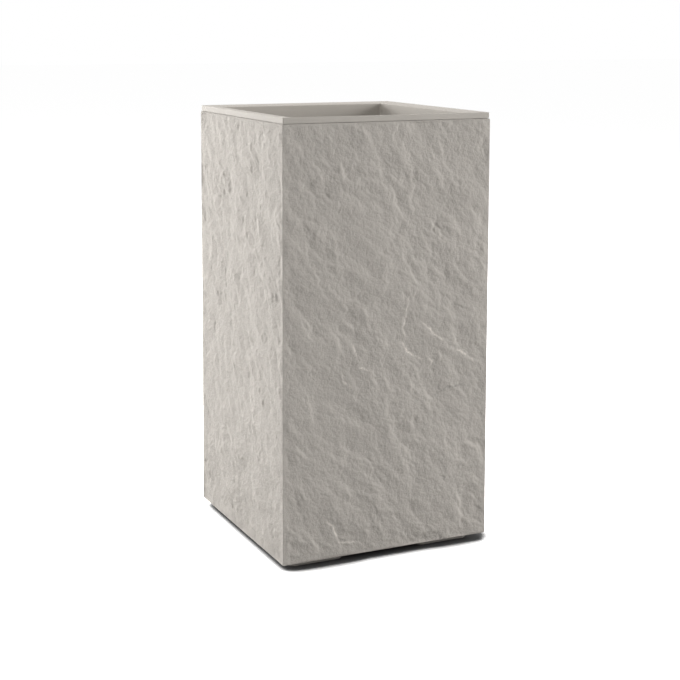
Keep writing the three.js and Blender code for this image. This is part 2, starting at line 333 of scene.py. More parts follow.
def placed(name: str, data: bpy.types.ID) -> bpy.types.Object:
    """Adds an object with the given data, such as a mesh, to the scene."""
    made = bpy.data.objects.new(name, data)
    bpy.context.scene.collection.objects.link(made)
    return made


@dataclass(frozen=True)
class Piece:
    """What a piece of the scene stands for."""

    name: str
    body: Body
    slot: Slot
    node: str

    def put(self, mesh: bpy.types.Mesh, material: bpy.types.Material,
            crease: float = CREASE) -> bpy.types.Object:
        """Makes the object of a finished mesh, in place of its node, with smooth shading.

        Args:
            mesh: the piece's mesh, in place.
            material: its finish.
            crease: an edge that turns by more than this many degrees stays sharp.

        Returns:
            The object.
        """
        mesh.polygons.foreach_set("use_smooth", np.ones(len(mesh.polygons), bool))
        mesh.set_sharp_from_angle(angle=math.radians(crease))
        piece = placed(self.name, mesh)
        mesh.materials.append(material)
        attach(piece, self.body.value)
        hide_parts(self.node)
        return piece

    def build(self, surface: Surface, material: bpy.types.Material,
              crease: float = CREASE) -> bpy.types.Object:
        """Makes the object of a surface, as put does for a mesh."""
        return self.put(welded(self.name, surface), material, crease)


# ---- finishes ----


class Nodes:
    """Adds shader nodes to a material or the world and joins them."""

    def __init__(self, owner: bpy.types.Material | bpy.types.World) -> None:
        """Starts the owner's tree afresh."""
        self.owner = owner
        owner.use_nodes = True
        self.tree = owner.node_tree
        self.tree.nodes.clear()

    def add(self, kind: str, values: dict[str | int, object] | None = None,
            **settings: object) -> bpy.types.Node:
        """Adds a node.

        Args:
            kind: the node's type.
            values: for each input, by name or number, a value or the socket that is joined to it.
            settings: properties of the node.

        Returns:
            The node.
        """
        node = self.tree.nodes.new(kind)
        for name, value in settings.items():
            setattr(node, name, value)
        for key, value in (values or {}).items():
            if isinstance(value, Socket):
                self.tree.links.new(value, node.inputs[key])
            else:
                node.inputs[key].default_value = value
        return node

    def place(self) -> Socket:
        """Object coordinates, which are the planter's own, in metres."""
        return self.add("ShaderNodeTexCoord").outputs["Object"]

    def noise(self, scale: float, detail: float, roughness: float = 0.5,
              squeeze: Triple = (1, 1, 1)) -> Socket:
        """Noise over the object.

        Args:
            scale: how many times a metre it varies.
            detail: number of finer layers.
            roughness: how much each finer layer counts.
            squeeze: how much faster it varies along each axis.

        Returns:
            Its value, about 0 to 1.
        """
        place = self.add("ShaderNodeMapping", {"Vector": self.place(), "Scale": squeeze})
        made = self.add("ShaderNodeTexNoise", {
            "Vector": place.outputs[0], "Scale": scale, "Detail": detail, "Roughness": roughness,
        })
        return made.outputs["Fac"]

    def spread(self, value: Socket, low: float, high: float, to_low: float, to_high: float) -> Socket:
        """Maps the range low to high of a value onto to_low to to_high, held at the ends."""
        made = self.add("ShaderNodeMapRange", {
            "Value": value, "From Min": low, "From Max": high, "To Min": to_low, "To Max": to_high,
        })
        return made.outputs[0]

    def around_one(self, noise: Socket, share: float) -> Socket:
        """Maps the usual range of a noise onto 1 - share to 1 + share."""
        return self.spread(noise, 0.3, 0.7, 1 - share, 1 + share)

    def maths(self, operation: str, first: Socket, second: Socket) -> Socket:
        """Result of an operation on two values."""
        return self.add("ShaderNodeMath", {0: first, 1: second}, operation=operation).outputs[0]

    def scaled_colour(self, colour: Triple, factors: list[Socket]) -> Socket:
        """A colour times several grey factors."""
        product = factors[0]
        for factor in factors[1:]:
            product = self.maths("MULTIPLY", product, factor)
        made = self.add("ShaderNodeVectorMath", {0: colour, "Scale": product}, operation="SCALE")
        return made.outputs[0]

    def seen(self) -> Socket:
        """1 for what the camera sees, also in metal and through glass, and 0 for light on its way."""
        path = self.add("ShaderNodeLightPath").outputs
        either = self.maths("MAXIMUM", path["Is Camera Ray"], path["Is Glossy Ray"])
        return self.maths("MAXIMUM", either, path["Is Transmission Ray"])

    def finish(self, colour: Socket, roughness: float | Socket,
               grain: Socket, depth: float, metallic: float = 0.0) -> bpy.types.Material:
        """Ends the tree with a surface whose grain, of heights 0 to 1, is depth metres deep."""
        bump = self.add("ShaderNodeBump", {"Height": grain, "Strength": 1.0, "Distance": depth})
        shader = self.add("ShaderNodeBsdfPrincipled", {
            "Base Color": colour, "Roughness": roughness, "Metallic": metallic,
            "Normal": bump.outputs[0],
        })
        self.add("ShaderNodeOutputMaterial", {"Surface": shader.outputs[0]})
        return self.owner


@dataclass(frozen=True)
class StoneFinish:
    """Matt warm grey, fine grain; painted shade in hollows, light on ridges, light and shade on chip
    edges.
    """

    colour: Triple = (0.455, 0.425, 0.388)
    roughness: float = 0.92
    cloud: float = 0.02
    cloud_scale: float = 9
    speckle: float = 0.05
    speckle_scale: float = 420
    # Strength of the painted shade in hollows and painted light on ridges, taken from the relief
    # height.
    relief_shade: float = 0.02
    grain_scale: float = 170
    grain_depth: float = 0.0021
    # Strength of the painted highlight, and the painted shade, along the chips' edges.
    chip: float = 0.65

    def material(self) -> bpy.types.Material:
        """Builds the material."""
        nodes = Nodes(bpy.data.materials.new("stone_fibreglass"))
        relief = nodes.add("ShaderNodeAttribute", attribute_name="relief").outputs["Fac"]
        cloud = nodes.around_one(nodes.noise(self.cloud_scale, 4), self.cloud)
        speckle = nodes.around_one(nodes.noise(self.speckle_scale, 3, 0.6), self.speckle)
        # Painted shade and light from the relief height: darker in the hollows, paler on the ridges.
        relief_shade = nodes.spread(relief, -1.5, 1.5, 1 - self.relief_shade, 1 + self.relief_shade)
        # Painted highlight along chip edges, and painted shade along those whose pale is negative.
        painted_edge_light = nodes.add("ShaderNodeAttribute", attribute_name="painted_edge_light").outputs["Fac"]
        edge = nodes.spread(painted_edge_light, -1, 1, 1 - self.chip, 1 + self.chip)
        grain = nodes.noise(self.grain_scale, 4, 0.6)
        colour = nodes.scaled_colour(self.colour, [cloud, speckle, relief_shade, edge])
        return nodes.finish(colour, self.roughness, grain, self.grain_depth)


@dataclass(frozen=True)
class MouldedFinish:
    """Plain moulded surface: one colour with faint clouds, and a fine grain in its gloss and height."""

    name: str
    colour: Triple
    roughness: float
    cloud: float
    cloud_scale: float
    grain_scale: float
    grain_depth: float
    metallic: float = 0.0
    squeeze: Triple = (1, 1, 1)
    gloss: float = 0.06

    def material(self) -> bpy.types.Material:
        """Builds the material."""
        nodes = Nodes(bpy.data.materials.new(self.name))
        cloud = nodes.around_one(nodes.noise(self.cloud_scale, 4), self.cloud)
        grain = nodes.noise(self.grain_scale, 3, 0.6, self.squeeze)
        low, high = self.roughness - self.gloss, self.roughness + self.gloss
        roughness = nodes.spread(grain, 0.3, 0.7, low, high)
        colour = nodes.scaled_colour(self.colour, [cloud])
        return nodes.finish(colour, roughness, grain, self.grain_depth, self.metallic)


SMOOTH_FINISH = MouldedFinish("smooth_fibreglass", (0.45, 0.42, 0.38), 0.78, 0.03, 14, 900, 0.00006)
MOULDED_FINISH = MouldedFinish("moulded_fibreglass", (0.38, 0.36, 0.33), 0.75, 0.06, 18, 600, 0.0002)
RUBBER_FINISH = MouldedFinish("plug_rubber", (0.03, 0.03, 0.03), 0.8, 0.1, 60, 1500, 0.00005)
STEEL_FINISH = MouldedFinish(
    "screw_steel", (0.55, 0.56, 0.57), 0.3, 0.03, 80, 900, 0.00002, metallic=1.0, squeeze=(1, 1, 8))


# ---- stone relief ----


def rough_noise(shape: tuple[int, int], step: float, seed: int, longest: float, shortest: float,
                stretch: float = 1.0, angle: float = 0.0) -> np.ndarray:
    """Random heights of rough stone, which is about as steep at every length.

    Heights = inverse transform of (transform of white noise * weight), scaled to a deviation of 1.
    Weight = exp(-(f * shortest)^2) / (f^2 + 1 / longest^2), where f is the frequency of a wave and
    its part along the crests counts stretch times as much as that across them.

    Args:
        shape: rows and columns.
        step: metres between neighbours.
        seed: start of the random numbers.
        longest: metres from crest to crest above which the waves stop growing.
        shortest: metres from crest to crest below which they fade.
        stretch: how many times longer a crest is than it is wide.
        angle: direction of the crests in degrees, anticlockwise from the horizontal.

    Returns:
        The heights, one for each grid point.
    """
    white = np.random.default_rng(seed).standard_normal(shape)
    turn = math.radians(angle)
    across = np.fft.rfftfreq(shape[1], step)[None, :]
    up = np.fft.fftfreq(shape[0], step)[:, None]
    along = across * math.cos(turn) + up * math.sin(turn)
    beside = up * math.cos(turn) - across * math.sin(turn)
    square = beside**2 + (along * stretch) ** 2
    weight = np.exp(-square * shortest**2) / (square + longest**-2)
    made = np.fft.irfft2(np.fft.rfft2(white) * weight, s=shape)
    return (made - made.mean()) / made.std()


def raked(height: np.ndarray, step: float, rake: float) -> np.ndarray:
    """Heights whose tops are pushed sideways, which makes one side of each steep and the other slow.

    New height at column x = height at column x + rake * height / step, in between linearly.

    Args:
        height: the heights, one for each grid point.
        step: metres between neighbours.
        rake: how far a top moves for its own height.

    Returns:
        The new heights.
    """
    rows, columns = np.indices(height.shape)
    place = np.clip(columns + rake * height / step, 0, height.shape[1] - 1.001)
    low = place.astype(int)
    share = place - low
    return height[rows, low] * (1 - share) + height[rows, low + 1] * share


def steepened(height: np.ndarray, step: float, slope: float) -> np.ndarray:
    """Heights scaled so that their slope along either axis has the given deviation."""
    rise = np.gradient(height, step)
    return height * slope / math.sqrt((rise[0] ** 2 + rise[1] ** 2).mean() / 2)


@dataclass(frozen=True)
class Scarp:
    """A chip's edge: a line of points across and up one face, on whose left side the stone drops."""

    points: tuple[tuple[float, float], ...]
    drop: float
    reach: float
    # Strength of the painted highlight along the line; below 0 it paints a dark line of shade.
    pale: float = 1.0
    sharpness: float = 0.0006
    line_width: float = 0.0013

    def nearest(self, across: np.ndarray, up: np.ndarray) -> tuple[np.ndarray, np.ndarray]:
        """Signed distance from the line, and how strong the chip is at the nearest point of it.

        Args:
            across: place of each grid point across the face.
            up: its height.

        Returns:
            The distances, positive on the right, and the strengths, which fade towards the line's ends.
        """
        nearest = np.full(across.shape, np.inf)
        signed = np.zeros(across.shape)
        share = np.zeros(across.shape)
        line = np.array(self.points)
        lengths = np.hypot(*np.diff(line, axis=0).T)
        travelled = np.concatenate([[0], np.cumsum(lengths)])
        for (x0, z0), (x1, z1), length, start in zip(line[:-1], line[1:], lengths, travelled):
            t = np.clip(((across - x0) * (x1 - x0) + (up - z0) * (z1 - z0)) / length**2, 0, 1)
            dx, dz = across - x0 - t * (x1 - x0), up - z0 - t * (z1 - z0)
            distance = np.hypot(dx, dz)
            side = np.sign(dx * (z1 - z0) - dz * (x1 - x0))
            closer = distance < nearest
            nearest = np.where(closer, distance, nearest)
            signed = np.where(closer, distance * side, signed)
            share = np.where(closer, (start + t * length) / travelled[-1], share)
        return signed, np.sin(math.pi * np.clip(share, 0.02, 0.98)) ** 0.5

    def heights(self, across: np.ndarray, up: np.ndarray) -> np.ndarray:
        """Heights that the chip adds, at most 0: -drop * exp(-distance / reach) on the line's left."""
        signed, strength = self.nearest(across, up)
        edge = 0.5 - 0.5 * np.tanh(signed / self.sharpness)
        return -self.drop * strength * edge * np.exp(-np.abs(signed) / self.reach)

    def painted_edge_light(self, across: np.ndarray, up: np.ndarray) -> np.ndarray:
        """Painted highlight along the edge, shade where pale < 0: pale * strength * exp(-(distance /
        width)^2).
        """
        signed, strength = self.nearest(across, up)
        return self.pale * strength * np.exp(-(signed / self.line_width) ** 2)


@dataclass(frozen=True)
class StoneRelief:
    """Height of the split-stone relief over one face."""

    slope: float = 0.108
    longest: float = 0.080
    shortest: float = 0.0016
    rake: float = 1.8
    stretch: float = 1.55
    angle: float = 130.0
    patch_length: float = 0.070
    patch: float = 0.30
    flake_slope: float = 0.045
    flake_length: float = 0.025
    flake_stretch: float = 2.0
    left_gain: float = 1.3
    edge_fade: float = 0.010
    deepest: float = 0.003

    def heights(self, shape: tuple[int, int], step: float, seed: int, side: Side) -> np.ndarray:
        """Heights of the relief at each grid point, in metres.

        Rough stone and flakes, stronger in some patches than in others. Flakes are the lower of two
        rough fields, and so have ridges between them. Tops lean one way on the left and back, and
        the other way on the front and right. The left face is the roughest.

        Args:
            shape: rows and columns of the grid.
            step: metres between neighbours.
            seed: start of the random numbers.
            side: which side of the planter.

        Returns:
            The heights.
        """
        rough = rough_noise(shape, step, seed, self.longest, self.shortest, self.stretch, self.angle)
        rough = steepened(rough, step, self.slope)
        patches = rough_noise(shape, step, seed + 1, self.patch_length, self.patch_length / 6)
        fields = [rough_noise(shape, step, seed + k, self.flake_length, self.shortest,
                              self.flake_stretch, self.angle) for k in (2, 3)]
        flakes = steepened(np.minimum(*fields), step, self.flake_slope)
        made = (rough + flakes) * np.exp(self.patch * patches)
        made = (made - made.mean()) * (self.left_gain if side is Side.LEFT else 1.0)
        return raked(made, step, self.rake if side in (Side.LEFT, Side.BACK) else -self.rake)


SCARPS = {Side.FRONT: (
    Scarp(((0.04, 0.478), (0.0325, 0.437), (0.03, 0.425), (0.037, 0.402)), 0.001, 0.02),
    Scarp(((0.0265, 0.4), (0.0375, 0.38), (0.068, 0.363)), 0.0014, 0.025),
    Scarp(((0.077, 0.368), (0.089, 0.359), (0.085, 0.346)), 0.001, 0.015),
    Scarp(((0.065, 0.433), (0.09, 0.41), (0.113, 0.392)), 0.0008, 0.02),
    Scarp(((0.138, 0.376), (0.155, 0.367), (0.174, 0.352)), 0.0009, 0.015),
    Scarp(((-0.07, 0.405), (-0.06, 0.373)), 0.0009, 0.02),
    Scarp(((-0.092, 0.36), (-0.087, 0.336), (-0.074, 0.328)), 0.0012, 0.018),
    Scarp(((-0.13, 0.093), (-0.107, 0.07), (-0.098, 0.043), (-0.057, 0.035), (-0.039, 0.021)),
          0.0013, 0.03),
    Scarp(((-0.0579, 0.3605), (-0.0402, 0.3551)), 0.0008, 0.015),
    Scarp(((0.1626, 0.3045), (0.1227, 0.3068), (0.0918, 0.2932)), 0.0009, 0.015, -0.4),
    Scarp(((-0.1966, 0.0803), (-0.2026, 0.0349)), 0.0006, 0.012, -0.4),
), Side.LEFT: (
    Scarp(((-0.1, 0.62), (-0.085, 0.55), (-0.09, 0.5)), 0.0009, 0.018, 0.4),
    Scarp(((0.06, 0.3), (0.075, 0.25), (0.07, 0.21)), 0.001, 0.018, 0.4),
), Side.BACK: (
    Scarp(((0.02, 0.55), (0.05, 0.49), (0.045, 0.44)), 0.0012, 0.02),
    Scarp(((-0.12, 0.22), (-0.09, 0.17), (-0.07, 0.16)), 0.001, 0.018),
), Side.RIGHT: (
    Scarp(((-0.03, 0.35), (0, 0.29), (-0.01, 0.24)), 0.0012, 0.02),
    Scarp(((0.1, 0.6), (0.12, 0.55), (0.15, 0.53)), 0.0009, 0.018),
)}


# ---- the stone shell ----


@dataclass(frozen=True)
class StoneShell:
    """Four split-stone walls with their top and bottom returns, mitred at the corners."""

    sizes: PlanterSizes = PlanterSizes()
    relief: StoneRelief = StoneRelief()
    corner_radius: float = 0.0010
    edge: float = 0.0015
    inner_radius: float = 0.009
    top_return: float = 0.005
    top_return_half: float = 0.1735
    bottom_return: float = 0.006
    bottom_return_width: float = 0.020
    wander: float = 0.0008
    wander_lengths: tuple[float, float] = (0.020, 0.004)
    # The next two set the mean and the random spread of the painted light and shade along the chips'
    # edges.
    edge_light_mean: float = 0.75
    edge_light_spread: float = 0.35
    end_fade: float = 0.003
    crease: float = 50
    corner_steps: int = 4
    side_steps: int = 204
    face_steps: int = 400

    def section(self) -> Section:
        """Section of the shell, up the stone face first and down its inner side."""
        s = self.sizes
        low, high, cut, eased = s.shell_bottom, s.shell_top, self.edge, ROUNDED_SHARE * self.edge
        heights = np.linspace(low + cut, high - cut, self.face_steps + 1)
        face = Section.of(*((s.face_half(z), z, self.corner_radius) for z in heights))
        under, floor = high - self.top_return, low + self.bottom_return
        opening = s.face_half(low) - self.bottom_return_width
        inner = self.inner_radius
        back = Section.of(
            (s.face_half(high) - eased, high - eased, self.corner_radius),
            (s.face_half(high) - cut, high, self.corner_radius),
            (self.top_return_half, high, inner),
            (self.top_return_half, under, inner),
            (s.face_half(under) - s.shell_wall, under, inner),
            (s.face_half(floor) - s.shell_wall, floor, inner),
            (opening, floor, inner),
            (opening, low, inner),
            (s.face_half(low) - cut, low, self.corner_radius),
            (s.face_half(low) - eased, low + eased, self.corner_radius),
        )
        return face.then(back)

    def wall(self, side: Side, scarps: Iterable[Scarp]) -> bpy.types.Mesh:
        """Mesh of one wall.

        The section is swept along the outline of one side, and the points of the stone face are
        moved outwards by the relief and the chips, whose lines wander a little. All of it fades to
        nothing at the face's edges.

        Args:
            side: which side of the planter.
            scarps: chips on that face.

        Returns:
            The mesh, with the relief in millimetres and the painted light and shade along the chips'
            edges as point attributes.
        """
        points = swept_points(self.section(), quarter_outline(self.corner_steps, self.side_steps))
        rows = self.face_steps + 1
        columns = slice(self.corner_steps, self.corner_steps + self.side_steps + 1)
        face = points[:rows, columns]
        step = self.sizes.top_width / self.side_steps
        across, up = -face[..., 0], face[..., 2]
        seed = 100 * (side.value + 1)
        wander = [rough_noise(across.shape, step, seed + k, *self.wander_lengths) for k in (10, 11, 12)]
        chipped = across + self.wander * wander[0], up + self.wander * wander[1]
        height = self.relief.heights(across.shape, step, seed, side)
        height = height + sum(scarp.heights(*chipped) for scarp in scarps)
        to_side = self.sizes.face_half(up) - self.corner_radius - np.abs(across)
        to_end = np.minimum(up - self.sizes.shell_bottom, self.sizes.shell_top - up) - self.edge
        fade = np.clip(to_side / self.relief.edge_fade, 0, 1) * np.clip(to_end / self.end_fade, 0, 1)
        height = self.relief.deepest * np.tanh(height * fade / self.relief.deepest)
        face[..., 1] += height
        count, width = points.shape[:2]
        quads = grid_quads(count, width, True, False)
        ends = [np.arange(count) * width, (np.arange(count) * width + width - 1)[::-1]]
        surface = Surface(turned(points.reshape(-1, 3), side.value), quads)
        mesh = mesh_of(f"stone_wall_{side.name.lower()}", surface, ends)
        # Painted light and shade along the chips' edges, varied at random along each line.
        showing = np.clip(self.edge_light_mean + self.edge_light_spread * wander[2], 0.1, 1.2)
        painted_edge_light = sum(scarp.painted_edge_light(*chipped) for scarp in scarps) * showing
        for name, values in (("relief", height * 1000), ("painted_edge_light", painted_edge_light)):
            whole = np.zeros((count, width), np.float32)
            whole[:rows, columns] = values
            mesh.attributes.new(name, "FLOAT", "POINT").data.foreach_set("value", whole.ravel())
        return mesh

    def build(self) -> list[bpy.types.Object]:
        """Builds and dresses the four walls."""
        material = StoneFinish().material()
        made = []
        for side in Side:
            piece = Piece(f"stone_wall_{side.name.lower()}", Body.CARCASS, Slot.STONE, "outer_shell")
            made.append(piece.put(self.wall(side, SCARPS[side]), material, self.crease))
        return made


# ---- the liner ----


@dataclass(frozen=True)
class Liner:
    """Lift-out pot whose moulded rim hangs on the shell, with a hand grip through two of its walls."""

    sizes: PlanterSizes = PlanterSizes()
    rim_half: float = 0.1988
    rim_corner: float = 0.0015
    rim_edge: float = 0.0012
    rim_fall: float = 0.0028
    rim_plate: float = 0.0045
    groove_top: float = 0.7898
    groove_half: float = 0.1973
    seat_inner: float = 0.1903
    opening_half: float = 0.168
    wall: float = 0.004
    draft: float = math.radians(2)
    top_corner: float = 0.003
    bottom_corner: float = 0.026
    floor_edge: float = 0.420
    floor_thickness: float = 0.005
    floor_fall: float = 0.005
    fillet: float = 0.016
    sump_radius: float = 0.032
    sump_depth: float = 0.006
    drain_radius: float = 0.0125
    stand_inset: float = 0.026
    stand_width: float = 0.005
    stand_bottom: float = 0.395
    rib_start: float = 0.037
    rib_length: float = 0.072
    rib_width: float = 0.005
    rib_height: float = 0.002
    rib_edge: float = 0.001
    grip_length: float = 0.090
    grip_height: float = 0.024
    grip_middle: float = 0.750
    corner_steps: int = 10

    def half(self, z: float) -> float:
        """Half of the width across the inner faces at height z."""
        return self.opening_half - (self.sizes.height - z) * math.tan(self.draft)

    def rim_top(self, half: float) -> float:
        """Height of the rim's top at a half width: it falls evenly from the band to the opening."""
        share = (self.rim_half - half) / (self.rim_half - self.opening_half)
        return self.sizes.height - self.rim_fall * share

    def corner(self, z: float) -> float:
        """Radius of the inner corners at height z."""
        share = (self.sizes.height - z) / (self.sizes.height - self.floor_edge)
        return self.top_corner + (self.bottom_corner - self.top_corner) * share

    def fillet_rings(self, half: float, z: float, radius: float, corner: float) -> list[Triple]:
        """Rings of the round between wall and floor, from the wall down.

        Half width = middle + radius * cos(angle) and height = z + radius * sin(angle), where the
        middle is one radius inside the wall; the corner radius shrinks by what the half width does.

        Args:
            half: half width at the wall.
            z: height of the round's middle.
            radius: the round's own radius.
            corner: corner radius at the wall.

        Returns:
            The rings.
        """
        angles = np.radians(np.linspace(0, -90, 9))
        halves = half - radius + radius * np.cos(angles)
        heights = z + radius * np.sin(angles)
        return list(zip(halves, heights, corner - (half - halves)))

    def section(self) -> Section:
        """Section of the pot: over the rim, down the inner wall, across the floor and back up."""
        fillet_z = self.floor_edge + self.fillet
        half, corner = self.half(fillet_z), self.corner(fillet_z)
        outer_fillet = self.fillet + self.floor_thickness
        sump_top = self.floor_edge - self.floor_fall
        sump_floor = sump_top - self.sump_depth
        under = sump_floor - self.floor_thickness
        plate = self.floor_edge - self.floor_thickness
        stand = half - self.stand_inset
        seat = self.sizes.shell_top + self.sizes.seat_gap
        wide = self.sump_radius + self.floor_thickness
        inner_top = self.rim_top(self.opening_half)
        inner_under = inner_top - self.rim_plate
        rim = Section.of(
            (self.rim_half, self.groove_top, self.rim_corner),
            (self.rim_half, self.sizes.height, self.rim_corner),
            (self.opening_half, inner_top, self.top_corner),
            (self.half(fillet_z), fillet_z, corner),
            closed=False,
        ).rounded(self.rim_edge, 6)
        floor = Section.of(
            *self.fillet_rings(half, fillet_z, self.fillet, corner)[1:],
            (self.sump_radius, sump_top),
            (self.sump_radius, sump_floor),
            (self.drain_radius, sump_floor),
            (self.drain_radius, under),
            (wide, under),
            (wide, sump_top - self.floor_thickness),
            (stand - self.stand_width, plate, corner),
            (stand - self.stand_width, self.stand_bottom, corner),
            (stand, self.stand_bottom, corner),
            (stand, plate, corner),
            *self.fillet_rings(half + self.wall, fillet_z, outer_fillet, corner + self.wall)[::-1],
            (self.half(inner_under) + self.wall, inner_under, self.top_corner + self.wall),
            (self.seat_inner, self.rim_top(self.seat_inner) - self.rim_plate, self.rim_corner),
            (self.seat_inner, seat, self.rim_corner),
            (self.groove_half, seat, self.rim_corner),
            (self.groove_half, self.groove_top, self.rim_corner),
        )
        return rim.then(floor)

    def floor_ribs(self) -> Surface:
        """Four low ribs on the floor, like a cross."""
        low = self.floor_edge - self.floor_fall - self.floor_thickness / 2
        high = self.floor_edge + self.rib_height
        w = self.rib_width / 2
        section = Section.block(w, low, high, w / 2).rounded(self.rib_edge, 4)
        return ribs(section, self.rib_start, self.rib_start + self.rib_length)

    def grip_cutter(self) -> Surface:
        """Bar along X with rounded ends, that cuts both hand grips."""
        r = self.grip_height / 2
        reach = self.sizes.top_width / 2
        made = swept(Section.block(r, -reach, reach, r), 8, self.grip_length / 2 - r)
        return Surface(made.points[:, [2, 0, 1]], made.quads).moved(z=self.grip_middle)

    def build(self) -> list[bpy.types.Object]:
        """Builds and dresses the liner."""
        pot = cut(welded("liner_pot", swept(self.section(), self.corner_steps)),
                  welded("grip_cutter", self.grip_cutter()))
        work = bmesh.new()
        work.from_mesh(pot)
        work.from_mesh(welded("ribs", self.floor_ribs()))
        work.to_mesh(pot)
        work.free()
        piece = Piece("liner_pot", Body.LINER, Slot.SMOOTH, "liner")
        return [piece.put(pot, SMOOTH_FINISH.material())]


def cut(mesh: bpy.types.Mesh, cutter: bpy.types.Mesh) -> bpy.types.Mesh:
    """The part of a closed mesh that is outside a closed cutter."""
    target, tool = placed("cut_target", mesh), placed("cut_tool", cutter)
    step = target.modifiers.new("cut", "BOOLEAN")
    step.operation, step.solver, step.object = "DIFFERENCE", "EXACT", tool
    graph = bpy.context.evaluated_depsgraph_get()
    result = bpy.data.meshes.new_from_object(target.evaluated_get(graph))
    result.name = mesh.name
    for made in (target, tool):
        bpy.data.objects.remove(made)
    return result


# ---- base, feet, screws and plugs ----


@dataclass(frozen=True)
class BasePanel:
    """Tray bonded into the shell's foot: upstand, floor that falls to a drain collar, four ribs."""

    sizes: PlanterSizes = PlanterSizes()
    bottom: float = 0.0203
    thickness: float = 0.005
    edge_top: float = 0.0283
    upstand_top: float = 0.0543
    upstand: float = 0.004
    corner: float = 0.008
    drain_radius: float = 0.016
    collar: float = 0.008
    collar_top: float = 0.0273
    rib_width: float = 0.006
    rib_top: float = 0.0423
    rib_gap: float = 0.012
    rib_edge: float = 0.0012
    boss_radius: float = 0.0076
    edge: float = 0.0008
    sunk: float = 0.002

    def half(self, z: float) -> float:
        """Half of the width across the tray at height z."""
        return self.sizes.face_half(z) - self.sizes.shell_wall - self.sizes.seat_gap

    def build(self) -> list[bpy.types.Object]:
        """Builds and dresses the tray."""
        inner = self.corner - self.upstand
        ring = self.drain_radius + self.collar
        top = self.bottom + self.thickness
        tray = Section.of(
            (self.half(self.bottom), self.bottom, self.corner),
            (self.half(self.upstand_top), self.upstand_top, self.corner),
            (self.half(self.upstand_top) - self.upstand, self.upstand_top, inner),
            (self.half(self.edge_top) - self.upstand, self.edge_top, inner),
            (ring, top),
            (ring, self.collar_top),
            (self.drain_radius, self.collar_top),
            (self.drain_radius, self.bottom),
        ).rounded(self.edge, 3)
        w = self.rib_width / 2
        start = ring + self.rib_gap
        end = self.half(self.rib_top) - self.upstand - self.rib_gap
        foot = self.bottom + self.sunk
        rib = Section.block(w, foot, self.rib_top, w / 3).rounded(self.rib_edge, 3)
        boss = swept(Section.block(self.boss_radius, foot, self.edge_top, self.boss_radius), 5)
        bosses = [boss.moved(x, y) for x, y in Feet().screw_places().values()]
        whole = joined([swept(tray, 5), ribs(rib, start, end), *bosses])
        piece = Piece("base_tray", Body.CARCASS, Slot.MOULDED, "base_panel")
        return [piece.build(whole, MOULDED_FINISH.material())]


@dataclass(frozen=True)
class Feet:
    """Four rounded square feet, each held up into the base by two screws."""

    size: float = 0.106
    height: float = 0.020
    corner: float = 0.012
    edge: float = 0.002
    middle: float = 0.12977
    screw_spread: float = 0.048
    screw_tip: float = 0.008
    screw_seat: float = 0.0286
    screw_radius: float = 0.003
    head_radius: float = 0.0056
    head_height: float = 0.0038
    recess_radius: float = 0.0022
    recess_depth: float = 0.0016
    screw_edge: float = 0.0003
    screw_bevel: float = 0.001
    head_rim: float = 0.0015
    head_dome: float = 0.0006

    def screw_places(self) -> dict[str, tuple[float, float]]:
        """Place of each screw by the end of its node's name."""
        return {
            f"{name}_{end}": (sx * (self.middle + shift), sy * (self.middle + shift))
            for name, (sx, sy) in CORNERS.items()
            for end, shift in (("inner", -self.screw_spread / 2), ("outer", self.screw_spread / 2))
        }

    def screw(self) -> Surface:
        """Shank and domed head with a round recess, turned about its axis."""
        r, h, tip, seat = self.screw_radius, self.head_radius, self.screw_tip, self.screw_seat
        top, bevel = seat + self.head_height, self.screw_bevel
        deep = top - self.recess_depth
        return swept(Section.of(
            (0, tip), (r - bevel, tip), (r, tip + bevel), (r, seat),
            (h, seat), (h, seat + self.head_rim), (h - bevel, top - self.head_dome),
            (self.recess_radius, top), (self.recess_radius, deep), (0, deep), closed=False,
        ).rounded(self.screw_edge, 2), 4)

    def build(self) -> list[bpy.types.Object]:
        """Builds and dresses the feet and their screws."""
        made = []
        moulded, steel = MOULDED_FINISH.material(), STEEL_FINISH.material()
        block = Section.block(self.size / 2, 0, self.height, self.corner)
        foot, screw = swept(block.rounded(self.edge, 5), 8), self.screw()
        for name, (sx, sy) in CORNERS.items():
            piece = Piece(f"pad_{name}", Body.CARCASS, Slot.MOULDED, f"foot_{name}")
            made.append(piece.build(foot.moved(sx * self.middle, sy * self.middle), moulded))
        for name, (x, y) in self.screw_places().items():
            piece = Piece(f"screw_{name}", Body.CARCASS, Slot.STEEL, f"foot_screw_{name}")
            made.append(piece.build(screw.moved(x, y), steel))
        return made


@dataclass(frozen=True)
class DrainPlug:
    """Rubber bung of a round hole: a tapered body, a flange and a knob."""

    name: str
    node: str
    body: Body
    hole_radius: float
    hole_length: float
    hole_top: float
    clearance: float = 0.0003
    seat_gap: float = 0.0003
    taper: float = 0.0008
    flange_overlap: float = 0.005
    flange: float = 0.003
    projection: float = 0.003
    knob_radius: float = 0.006
    knob_neck: float = 0.0035
    knob_height: float = 0.009
    edge: float = 0.0012
    crease: float = 35

    def build(self) -> list[bpy.types.Object]:
        """Builds and dresses the plug."""
        fit = self.hole_radius - self.clearance
        wide = self.hole_radius + self.flange_overlap
        low = self.hole_top - self.hole_length - self.projection
        seat = self.hole_top + self.seat_gap
        top = seat + self.flange
        knob = top + self.knob_height
        neck, ball = self.knob_neck, self.knob_radius
        plug = Section.of(
            (0, low), (fit - self.taper, low), (fit, self.hole_top - self.projection), (fit, seat),
            (wide, seat), (wide, top), (neck, top), (neck, knob - ball), (ball, knob - ball / 2),
            (ball, knob), (0, knob), closed=False,
        ).rounded(self.edge, 4)
        piece = Piece(self.name, self.body, Slot.RUBBER, self.node)
        return [piece.build(swept(plug, 8), RUBBER_FINISH.material(), self.crease)]


# ---- studio ----


